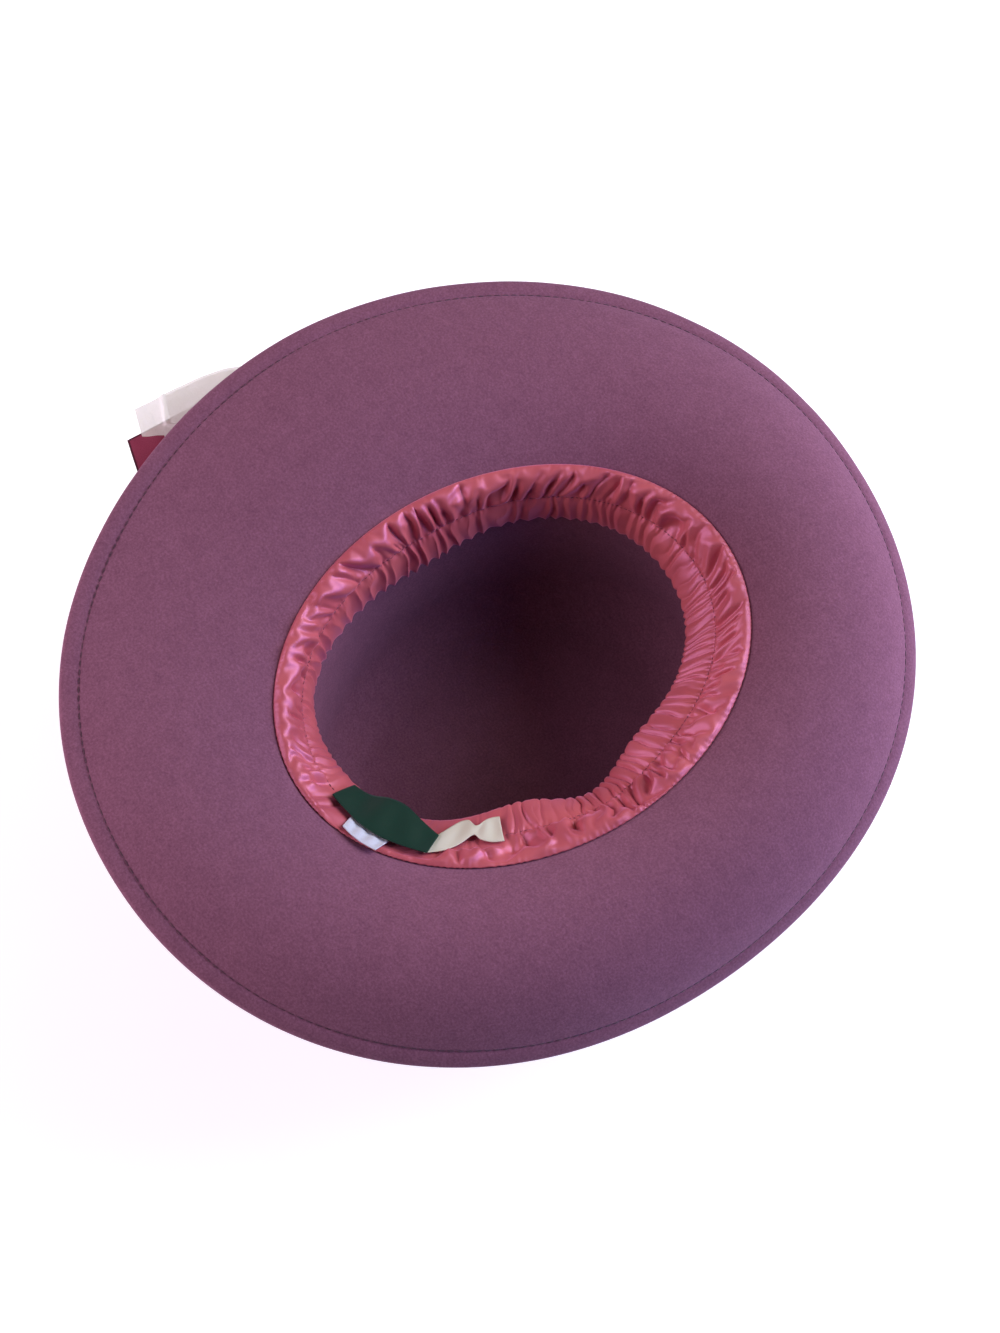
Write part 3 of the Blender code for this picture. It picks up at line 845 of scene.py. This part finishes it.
def ribbonGrid(row, share, over, above=0.0):
    out, side = knotAxes()
    middle = (ribbon["low"] + ribbon["high"]) / 2
    knotEdge = wallPoint(ribbon["knotAngle"] - knotHalfTurn(), middle, ribbon["thick"] + 2 * ribbon["gap"])
    start = knotEdge + side * 2 * ribbon["gap"] + out * ribbon["knotSide"]
    run = np.array(row["end"]) - start
    fall, run[2] = run[2], 0.0
    length = np.linalg.norm(run)
    axis = run / length
    level = np.array([-axis[1], axis[0], 0.0])
    opened = smooth(share / ribbon["spread"])
    upright = np.array([0, 0, 1.0])
    twist = (math.pi / 2 * opened)[..., None]
    across = level * np.sin(twist) + upright * np.cos(twist)
    normal = np.cross(axis, across)
    width = ribbon["gathered"] + (ribbon["width"] - ribbon["gathered"]) * opened
    centre = start + run * share[..., None] + level * (ribbon["bow"] * 4 * share * (1 - share))[..., None]
    centre[..., 2] = start[2] + fall * (1 - (1 - share) ** 2)
    centre = centre + out * (row["leaf"] * ribbon["leafGap"] * (1 - share))[..., None]
    back = (row["slant"] * over - row["curl"] * (0.5 - over) ** 4) * mm * share
    # the long edge is tucked in a little way behind the end
    tuck = row["tuck"] * mm * smooth(((1 - share) * length - 13.5 * mm) / (3.0 * mm))
    tuck = tuck * smooth((over + 0.15) / 0.65)
    points = centre + across * (width * over - tuck)[..., None] + axis * back[..., None]
    gather = np.cos(9 * math.tau * over) * 0.5 * mm * (1 - opened)
    crinkle = ripple(points, 9 * mm, 5.0 + row["leaf"]) * row["crinkle"] * mm * smooth(share * 2)
    crease = row["crease"] * mm * np.exp(-((over - 0.24 + 0.3 * (share - 1)) / 0.014) ** 2)
    crease = crease * smooth((share - 0.8) / 0.1)
    return points + normal * (gather + crinkle + crease + above)[..., None]


def ribbonEnd(row):
    share, over = np.meshgrid(np.linspace(0, 1, 131), np.linspace(-0.5, 0.5, 61), indexing="ij")
    piece = gridPiece(row["piece"], ribbonGrid(row, share, over), finish[row["finish"]], ring=False,
                      scale=(ribbon["endFlat"][0], ribbon["width"]))
    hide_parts(row["node"])
    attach(piece, "root")


def organzaFold():  # the end is turned back on itself but for its outer corner
    share, over = np.meshgrid(np.linspace(0.7, 0.995, 41), np.linspace(-0.49, 0.23, 41), indexing="ij")
    points = ribbonGrid(ends[0], share, over, above=-0.7 * mm)
    piece = gridPiece("organza_fold", points, finish["organza"], ring=False, scale=ribbon["foldFlat"])
    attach(piece, "root")


hatBand()
ribbonKnot()
for row in ends:
    ribbonEnd(row)
organzaFold()
print("ribbons made")


# Floor, camera and light

stage = {
    "aim": Vector((0, 0, 0.105)),
    "azimuth": 237.69,
    "elevation": 68.0,
    "distance": 0.80,
    "focalPixels": 2014.6,  # on a frame of 1000 by 1333
    "frame": (1000, 1333),
    "offCentre": (14.39, 7.87),  # pixels that the aim lies right of and above the middle
    "floor": ("#eceff3", "#eff2f6"),
    "floorGlow": 0.52,
    "room": "#f4e9e4",
    "roomPower": 0.05,
}


def lookFrom(azimuth, elevation):
    turn, rise = math.radians(azimuth), math.radians(elevation)
    return Vector((math.sin(turn) * math.cos(rise), -math.cos(turn) * math.cos(rise), math.sin(rise)))


def makeCamera():
    data = bpy.data.cameras.new("camera")
    made = bpy.data.objects.new("camera", data)
    bpy.context.scene.collection.objects.link(made)
    back = lookFrom(stage["azimuth"], stage["elevation"])
    made.location = stage["aim"] + back * stage["distance"]
    made.rotation_euler = back.to_track_quat("Z", "Y").to_euler()
    data.sensor_fit = "VERTICAL"
    data.sensor_height = 36.0
    data.lens = stage["focalPixels"] / stage["frame"][1] * data.sensor_height
    data.shift_x = -stage["offCentre"][0] / stage["frame"][1]
    data.shift_y = -stage["offCentre"][1] / stage["frame"][1]
    data.clip_start = 0.01
    bpy.context.scene.camera = made
    return back


def makeFloor():
    made, tree, shader = newMaterial("pale floor", {
        "Roughness": 0.6,
        "Specular IOR Level": 0.2,
        "Emission Color": colour("#ffffff"),
        "Emission Strength": stage["floorGlow"],
    })
    place = addNode(tree, "TexCoord").outputs["Object"]
    grain = addNode(tree, "TexNoise", {"Scale": 12.0, "Detail": 2.0}, {"Vector": place})
    shade = shadeRamp(tree, grain.outputs["Fac"], ((0.3, stage["floor"][0]), (0.7, stage["floor"][1])))
    tree.links.new(shade, shader.inputs["Base Color"])
    mesh = bpy.data.meshes.new("floor")
    reach, level = 3.0, -0.4 * mm  # just under the hat
    corners = [(x * reach, y * reach, level) for x, y in ((-1, -1), (1, -1), (1, 1), (-1, 1))]
    mesh.from_pydata(corners, [], [(0, 1, 2, 3)])
    mesh.materials.append(made)
    floor = bpy.data.objects.new("floor", mesh)
    bpy.context.scene.collection.objects.link(floor)


# place is right, up and towards the camera from the hat's middle, as the picture shows them, in metres
lights = (
    {"name": "window", "place": (0.84, 0.50, 0.35), "size": 0.8, "power": 12.5, "colour": "#fff5dc"},
    {"name": "sky", "place": (0.84, 0.20, 0.35), "size": 0.8, "power": 7.6, "colour": "#7a9eff"},
    {"name": "wall", "place": (-0.84, 0.10, 0.36), "size": 0.9, "power": 9.6, "colour": "#fce6f4"},
)


def makeLights(back):
    turn = back.to_track_quat("Z", "Y").to_matrix()
    right, up = turn.col[0], turn.col[1]
    for lamp in lights:
        data = bpy.data.lights.new(lamp["name"], "AREA")
        data.size = lamp["size"]
        data.energy = lamp["power"]
        data.color = colour(lamp["colour"])[:3]
        made = bpy.data.objects.new(lamp["name"], data)
        bpy.context.scene.collection.objects.link(made)
        away = right * lamp["place"][0] + up * lamp["place"][1] + back * lamp["place"][2]
        made.location = stage["aim"] + away
        made.rotation_euler = away.to_track_quat("Z", "Y").to_euler()
    world = bpy.data.worlds.new("room light")
    world.use_nodes = True
    sky = world.node_tree.nodes["Background"]
    sky.inputs["Color"].default_value = colour(stage["room"])
    sky.inputs["Strength"].default_value = stage["roomPower"]
    bpy.context.scene.world = world


towardsCamera = makeCamera()
makeFloor()
makeLights(towardsCamera)
bpy.context.scene.view_settings.view_transform = "Standard"
print("floor, camera and light made")
